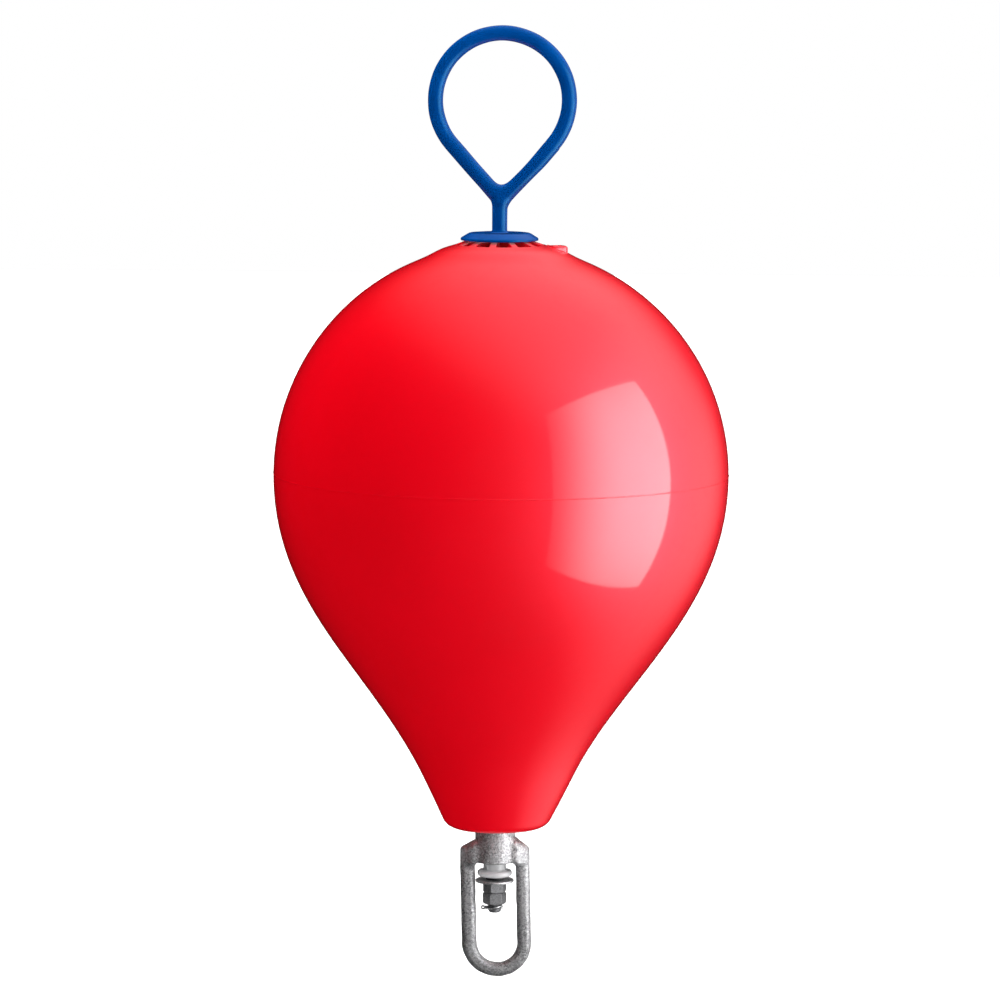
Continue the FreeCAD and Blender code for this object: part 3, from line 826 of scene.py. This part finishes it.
def bowField(points):
    s = bowSizes
    x, y, z = points.T
    low, high = bowBox
    top = high[2]
    bossLow = top - s["bossHeight"]
    # below the boss the bow leans a little
    x = x - s["lean"] * np.maximum(bossLow - z, 0.0)
    wide = np.abs(x)
    outer = s["outer"]
    bend = low[2] + outer
    shoulderRun = outer - s["boss"]
    shoulders = []
    for drop, corner in zip(s["shoulderDrop"], s["cornerDrop"]):
        fall = corner - drop
        shoulders.append(((wide - outer) * fall + (z - top + corner) * shoulderRun)
                         / hypot(shoulderRun, fall))
    shoulder = np.where(x < 0, *shoulders)
    outside = smoothMax(wide - outer, shoulder, s["cornerBlend"])
    outside = smoothMax(outside, z - top + s["topRoom"], s["topRoom"])
    outside = np.where(z > bend, outside, np.hypot(x, z - bend) - outer)
    inX = x - s["innerShift"]
    window = roundedEdge(np.abs(inX) - s["inner"], z - bossLow, s["crotch"])
    window = np.where(z > bend, window, np.hypot(inX, z - bend) - s["inner"])
    plate = np.maximum(outside, -window)
    # the cheeks beside the boss are thicker than the bar
    cheek = np.clip((z - bossLow + s["cheekFoot"]) / s["cheekFoot"], 0.0, 1.0)
    cheek = cheek * np.clip((outer - wide) / (outer - s["boss"]), 0.0, 1.0)
    halfBar = s["bar"] / 2 + s["cheek"] * cheek * cheek * (3.0 - 2.0 * cheek)
    bar = roundedEdge(plate, np.abs(y) - halfBar, s["edge"])
    bar = bar - s["flash"] * np.exp(-(y / s["flashWidth"]) ** 2)
    aroundAxis = np.hypot(x, y)
    boss = roundedEdge(aroundAxis - s["boss"], np.abs(z - (top + bossLow) / 2)
                       - (top - bossLow) / 2, s["bossEdge"])
    shape = smoothMin(bar, boss, s["bossBlend"])
    shape = shape + s["lumps"] * unevenness(points, s["lumpLength"], 2)
    shape = shape + s["grain"] * unevenness(points, s["grainLength"], 9)
    # the boss's two faces and its bore are cut clean
    nearBoss = z > bossLow - s["cutRoom"]
    underBoss = (aroundAxis < s["boss"] + 1) & nearBoss
    faces = np.maximum(z - top, np.where(underBoss, bossLow - z, -farOff))
    bore = np.where(nearBoss, s["bore"] - aroundAxis, -farOff)
    return smoothMax(smoothMax(shape, faces, s["cutEdge"]), bore, s["cutEdge"])


bowBox = boxOf("swivel_bow")
skinnedPiece("forgedBow", bowField, [x - 2 for x in bowBox[0]],
             [x + room for x, room in zip(bowBox[1], (6, 2, 2))], 0.75,
             forgedZinc, ["swivel_bow"], "galvanised_forging", "swivel")
print("bow made")

# the washers and the bushing share the rod's hole
rodSizes = {
    "hole": 8.35, "radius": 7.95, "tipChamfer": 2.2, "tipEdge": (0.3, 0.1), "pitch": 2.31,
    "groove": 1.25, "threadTop": -476.0, "stepsPerTurn": 12, "fadeSteps": 18, "startSteps": 20,
    "startShare": 0.6}
bushingSizes = {
    "sleeve": 11.0, "neck": 13.1, "neckTop": -451.6, "flangeTop": -460.9, "flangeWiden": 0.4,
    "flangeRounding": 3.0, "edge": 0.5, "holeEdge": 0.6, "neckFoot": 0.8, "sleeveFoot": 0.3}


def bushingOutline():
    s = bushingSizes
    low, high = boxOf("swivel_bushing")
    hole, flange = rodSizes["hole"], high[0] + s["flangeWiden"]
    middle = (low[2] + high[2]) / 2
    return roundedOutline([
        (hole, middle), (hole, low[2], s["holeEdge"]),
        (flange, low[2], s["flangeRounding"]), (flange, s["flangeTop"], s["flangeRounding"]),
        (s["neck"], s["flangeTop"], s["neckFoot"]), (s["neck"], s["neckTop"], s["edge"]),
        (s["sleeve"], s["neckTop"], s["sleeveFoot"]), (s["sleeve"], high[2], s["edge"]),
        (hole, high[2], s["edge"]), (hole, middle)])


turnedPiece("swivelBushing", bushingOutline(), 128, nylon, ["swivel_bushing"], "white_nylon")

# each washer is (node, rounding, columns, finish, slot)
washerHoleEdge = 0.4
washers = {
    "rubberWasher": ("rubber_washer", 1.2, 96, rubber, "black_rubber"),
    "steelWasher": ("steel_washer", 0.9, 128, plateZinc, "galvanised_steel"),
    "baseWasher": ("base_washer", 0.9, 160, plateZinc, "galvanised_steel")}
for name, (node, rounding, columns, finish, slot) in washers.items():
    low, high = boxOf(node)
    hole, middle = rodSizes["hole"], (low[2] + high[2]) / 2
    turnedPiece(name, roundedOutline([
        (hole, middle), (hole, low[2], washerHoleEdge), (high[0], low[2], rounding),
        (high[0], high[2], rounding), (hole, high[2], washerHoleEdge), (hole, middle)]),
        columns, finish, [node], slot)


def rodOutline():
    s = rodSizes
    low, high = boxOf("centre_rod")
    foot, head, top = low[2], high[2], s["threadTop"]
    tip = s["radius"] - s["tipChamfer"]
    outline = [(0.0, 0.0, foot), (3.0, 0.0, foot), (tip - s["tipEdge"][0], 0.0, foot),
               (tip, 0.0, foot + s["tipEdge"][1])]
    start = foot + s["tipChamfer"]
    count = int((top - start) / s["pitch"] * s["stepsPerTurn"])
    for step in range(count + 1):
        height = start + (top - start) * step / count
        # the thread starts shallow at the tip and runs out at its top
        strength = min(1.0, (count - step) / s["fadeSteps"],
                       s["startShare"] + step / s["startSteps"])
        outline.append((s["radius"], strength, height))
    outline += [(s["radius"], 0.0, top + 2), (s["radius"], 0.0, head), (0.0, 0.0, head)]
    return outline


turnedPiece("centreRod", rodOutline(), 72, nutZinc, ["centre_rod"], "galvanised_steel",
            rodSizes["pitch"], rodSizes["groove"])

nutSizes = {
    "flats": 23.8, "chamfer": 1.9, "chamferAngle": 35.0, "soft": 0.55, "sinkWiden": 1.3,
    "sinkSlope": 0.7, "sinkSoft": 0.3, "threadIn": 0.1}


def nutField(bottom, top, turn, chamferTop):
    s = nutSizes
    corner = s["flats"] / sqrt(3)
    slope = tan(radians(s["chamferAngle"]))
    cosine = cos(radians(s["chamferAngle"]))

    def field(points):
        x, y, z = points.T
        shape = np.full(len(points), -farOff)
        for step in range(3):
            angle = radians(turn + 30 + 60 * step)
            shape = np.maximum(shape, np.abs(x * cos(angle) + y * sin(angle)))
        shape = shape - s["flats"] / 2
        around = np.hypot(x, y)
        shape = smoothMax(shape, np.maximum(bottom - z, z - top), s["soft"])
        for depth in (z - bottom, top - z)[:2 if chamferTop else 1]:
            cone = ((around - corner + s["chamfer"]) * slope - depth) * cosine
            shape = smoothMax(shape, cone, s["soft"])
        sink = (rodSizes["radius"] + s["sinkWiden"] - around - (z - bottom)) * s["sinkSlope"]
        shape = smoothMax(shape, sink, s["sinkSoft"])
        return smoothMax(shape, rodSizes["radius"] - s["threadIn"] - around, s["sinkSoft"])
    return field


# each nut is (node, turn in degrees, whether its top is chamfered too)
nuts = {"upperNut": ("upper_nut", 12.0, False), "lowerNut": ("lower_nut", 6.0, True)}
for name, (node, turn, chamferTop) in nuts.items():
    low, high = boxOf(node)
    skinnedPiece(name, nutField(low[2], high[2], turn, chamferTop), [x - 1 for x in low],
                 [x + 1 for x in high], 0.36, nutZinc, [node], "galvanised_steel")

# the pin is one wire, doubled back through an eye, its legs bent round the rod
pinSizes = {
    "wire": 0.98, "eyeX": -13.3, "eyeRadius": 1.7, "eyeGap": 0.7,
    "through": (8.0, 4.0, 0.0, -4.0, -8.0, -11.2), "wrap": 9.1, "frontLeg": 140.0,
    "frontBend": 26.0, "frontRise": 3.0, "frontFoot": -0.8, "backLeg": 60.0, "backRise": -1.2}


def pinTree():
    tree, given = newTree("bentWire", [], ["Wire"])
    curve = given["Table"].node("GeometryNodeMeshToCurve", values={"Mesh": given["Table"]})
    circle = curve.node("GeometryNodeCurvePrimitiveCircle", values={
        "Resolution": 20, "Radius": given["Wire"]})
    mesh = curve.node("GeometryNodeCurveToMesh", values={
        "Curve": curve, "Profile Curve": circle, "Fill Caps": True})
    endTree(tree, given, mesh)
    return tree


def pinPath():
    s = pinSizes
    low, high = boxOf("cotter_pin")
    height = (low[2] + high[2]) / 2

    def wrapped(degrees, rise, side):
        angle = radians(degrees)
        return s["wrap"] * cos(angle), side * s["wrap"] * sin(angle), height + rise
    points = []
    for degrees in np.linspace(s["frontLeg"], s["frontBend"], 14):
        share = (s["frontLeg"] - degrees) / (s["frontLeg"] - s["frontBend"])
        points.append(wrapped(degrees, s["frontFoot"] * (1 - share) + s["frontRise"] * share, -1))
    points += [wrapped(14.0, 2.4, -1), wrapped(6.0, 1.5, -1)]
    points += [(x, 0.0, height + s["wire"]) for x in s["through"]]
    points += [(s["eyeX"] + s["eyeRadius"] * cos(angle), 0.0,
                height + s["eyeRadius"] * sin(angle))
               for angle in np.linspace(s["eyeGap"], fullTurn - s["eyeGap"], 17)]
    points += [(x, 0.0, height - s["wire"]) for x in s["through"][::-1]]
    points += [wrapped(degrees, s["backRise"], 1) for degrees in np.linspace(6.0, s["backLeg"], 6)]
    return points


pinPoints = pinPath()
pinMesh = grown("splitPin", pinTree(), pinPoints,
                {"Wire": pinSizes["wire"] * mm, "Finish": brightZinc},
                [(step, step + 1) for step in range(len(pinPoints) - 1)])
pieceOf("splitPin", pinMesh, brightZinc, ["cotter_pin"], "galvanised_steel")
print("hardware made")


# studio: a softbox to the front right, fills all round, a soft glow overhead and to the right,
# and a pale floor. paleShare is how much of the pale room shows in gloss
studio = {
    "keySize": (1.6, 2.12), "keyDistance": 1.3, "keyTurn": 60.0, "keyShift": -0.155,
    "keyHeight": -0.03, "keyShine": (0.5, 5.8), "keyLight": (1.06, 1.06),
    "keyAcross": (-0.05, 0.6), "keyFall": 0.4, "overhead": 0.88,
    "overheadWay": (0.59, 0.18, 0.79), "overheadReach": (0.2, 1.0), "overheadEdge": (0.15, 0.75),
    "besides": 0.85, "besidesTilt": 0.09, "besidesReach": (0.42, 1.0), "paleShare": 0.002,
    "floorHeight": -0.75, "floorReach": 14.0, "floorGlow": 0.72, "floorPale": 0.5,
    "floorPlain": 0.02}
# each fill is (place, strength, spread in degrees)
fills = {
    "fillAbove": ((0.0, 0.0, 2.0), 2.2, 180.0), "fillBelow": ((0.0, 0.0, -2.0), 0.45, 180.0),
    "fillBehind": ((-0.6, 2.0, 1.1), 4.2, 180.0), "fillUnder": ((0.9, -1.05, -1.5), 2.05, 60.0)}


# a lamp either shows in gloss or lights the colours
def lampAt(made, place, aim, inGloss):
    holder = added(made.name, made)
    holder.location = place
    holder.rotation_euler = (Vector(aim) - Vector(place)).to_track_quat("-Z", "Y").to_euler()
    holder.visible_camera = False
    holder.visible_glossy = inGloss
    holder.visible_diffuse = not inGloss
    made.cycles.use_multiple_importance_sampling = inGloss


keyTurn = radians(studio["keyTurn"])
keyAim = Vector((cos(keyTurn), sin(keyTurn), 0.0)) * studio["keyShift"]
keyAim.z = studio["keyHeight"]
keyPlace = keyAim + Vector((sin(keyTurn), -cos(keyTurn), 0.0)) * studio["keyDistance"]


def softbox(name, radiance, inGloss):
    made = bpy.data.lights.new(name, "AREA")
    made.shape = "RECTANGLE"
    wide, tall = studio["keySize"]
    made.size, made.size_y = wide, tall
    made.energy = pi * wide * tall
    # brighter towards one side, and a little duller at its top and foot
    made.use_nodes = True
    tree = made.node_tree
    across, upwards, _ = Wire(tree).node("ShaderNodeNewGeometry", output=5).parts()
    fall = 1.0 - (upwards * 2.0 - 1.0) ** 2 * studio["keyFall"]
    connect(tree, tree.nodes["Emission"].inputs["Strength"],
            across.rise(*studio["keyAcross"], *radiance) * fall)
    lampAt(made, keyPlace, keyAim, inGloss)


softbox("keyShine", studio["keyShine"], True)
softbox("keyLight", studio["keyLight"], False)
for name, (place, strength, spread) in fills.items():
    fill = bpy.data.lights.new(name, "SUN")
    fill.energy = strength
    fill.angle = radians(spread)
    lampAt(fill, place, (0.0, 0.0, 0.0), False)


# 1 for a ray that sees the pale room, 0 for one that only lights
def seenShare(paint):
    ray = paint.node("ShaderNodeLightPath").socket.node.outputs
    camera, glossy, through = [Wire(paint.tree, ray[name]) for name in (
        "Is Camera Ray", "Is Glossy Ray", "Is Transmission Ray")]
    return camera + through + glossy * studio["paleShare"]


world = bpy.data.worlds.new("studioWorld")
scene.world = world
world.cycles.sampling_method = "NONE"
world.use_nodes = True
sky = Wire(world.node_tree)
dirX, dirY, dirZ = sky.node("ShaderNodeTexCoord").parts()
wayX, wayY, wayZ = studio["overheadWay"]
above = (dirX * wayX + dirY * wayY + dirZ * wayZ).rise(*studio["overheadReach"])
above = above * dirZ.rise(*studio["overheadEdge"])
besides = (dirX - dirZ * studio["besidesTilt"]).rise(*studio["besidesReach"])
shine = above * studio["overhead"] + besides * studio["besides"]
background = sky.tree.nodes["Background"].inputs
connect(sky.tree, background["Color"], (1.0, 1.0, 1.0))
connect(sky.tree, background["Strength"], seenShare(sky).blend(shine, 1.0))

floorMesh = bpy.data.meshes.new("floor")
reach = studio["floorReach"]
floorMesh.from_pydata([(x * reach, y * reach, studio["floorHeight"]) for x, y in (
    (-1, -1), (1, -1), (1, 1), (-1, 1))], [], [(0, 1, 2, 3)])
floor = added("floor", floorMesh)
floor.visible_shadow = False
floor.visible_glossy = False
floorFinish = bpy.data.materials.new("paleFloor")
floorFinish.use_nodes = True
floorFinish.node_tree.nodes.clear()
paint = Wire(floorFinish.node_tree)
plain = paint.node("ShaderNodeBsdfDiffuse", values={"Color": (studio["floorPlain"],) * 3})
glow = paint.node("ShaderNodeEmission", values={
    "Color": (1.0, 1.0, 1.0), "Strength": studio["floorGlow"]})
lit = paint.node("ShaderNodeBsdfDiffuse", values={"Color": (studio["floorPale"],) * 3})
white = paint.node("ShaderNodeAddShader", values={0: glow, 1: lit})
mixed = paint.node("ShaderNodeMixShader", values={0: seenShare(paint), 1: plain, 2: white})
# from below one looks through the floor
under = paint.node("ShaderNodeNewGeometry", output=6)
clear = paint.node("ShaderNodeBsdfTransparent")
surface = paint.node("ShaderNodeMixShader", values={0: under, 1: mixed, 2: clear})
paint.node("ShaderNodeOutputMaterial", values={"Surface": surface})
floorMesh.materials.append(floorFinish)

cameraView = {
    "place": (0.0, -5.2, 0.59), "aim": (0.0028, 0.0, -0.0311), "lens": 164.83, "roll": 0.44}
cameraData = bpy.data.cameras.new("camera")
cameraData.lens = cameraView["lens"]
cameraData.sensor_width = 36.0
camera = added("camera", cameraData)
camera.location = cameraView["place"]
facing = (Vector(cameraView["aim"]) - camera.location).to_track_quat("-Z", "Y").to_matrix()
roll = Matrix.Rotation(radians(cameraView["roll"]), 3, "Z")
camera.rotation_euler = (facing @ roll).to_euler()
scene.camera = camera
scene.view_settings.view_transform = "Standard"
